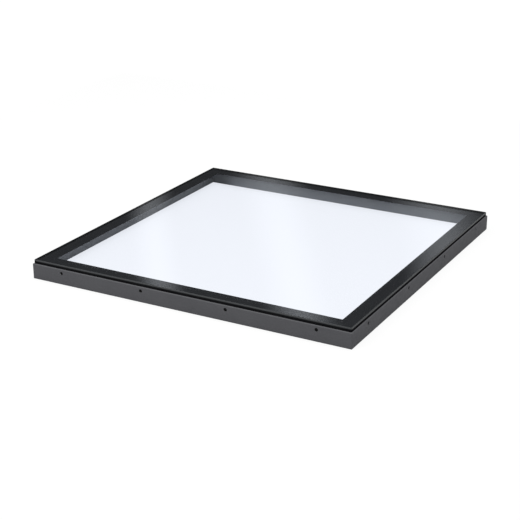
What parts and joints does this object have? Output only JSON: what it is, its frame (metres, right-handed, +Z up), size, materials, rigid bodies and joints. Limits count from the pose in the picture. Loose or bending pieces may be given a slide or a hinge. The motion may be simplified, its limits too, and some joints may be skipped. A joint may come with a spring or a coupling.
{
  "type": "roof skylight",
  "caption": "Square fixed flat-glass cover of a roof skylight: a pane with a black enamel border bonded onto a mitred skirt frame with side fixing holes.",
  "frame": {"origin": "plan centre of the cover, level with the foot of the skirt", "axes": "+Z up out of the pane, +X to the right and +Y to the back along the sides"},
  "size_m": [1, 1, 0.057],
  "materials": {
    "powder_coat": "matte",
    "clear_glass": "polished",
    "black_enamel": "gloss",
    "gasket_rubber": "matte",
    "tape_foam": "matte",
    "sealant": "satin",
    "plated_steel": "satin",
    "screw_steel": "satin",
    "seal_rubber": "matte",
    "strip_foam": "matte"
  },
  "bodies": {
    "root": {"frame_front": "powder_coat", "frame_right": "powder_coat", "frame_back": "powder_coat", "frame_left": "powder_coat", "glass_pane": "clear_glass", "enamel_border": "black_enamel", "edge_gasket": "gasket_rubber", "bonding_tape_front": "tape_foam", "bonding_tape_right": "tape_foam", "bonding_tape_back": "tape_foam", "bonding_tape_left": "tape_foam", "sealant_bead": "sealant", "corner_key_front_left": "plated_steel", "corner_key_front_right": "plated_steel", "corner_key_back_right": "plated_steel", "corner_key_back_left": "plated_steel", "set_screws_front_left": "screw_steel", "set_screws_front_right": "screw_steel", "set_screws_back_right": "screw_steel", "set_screws_back_left": "screw_steel", "kerb_seal_front": "seal_rubber", "kerb_seal_right": "seal_rubber", "kerb_seal_back": "seal_rubber", "kerb_seal_left": "seal_rubber", "fixing_seal_front": "strip_foam", "fixing_seal_right": "strip_foam", "fixing_seal_back": "strip_foam", "fixing_seal_left": "strip_foam"}
  },
  "joints": []
}
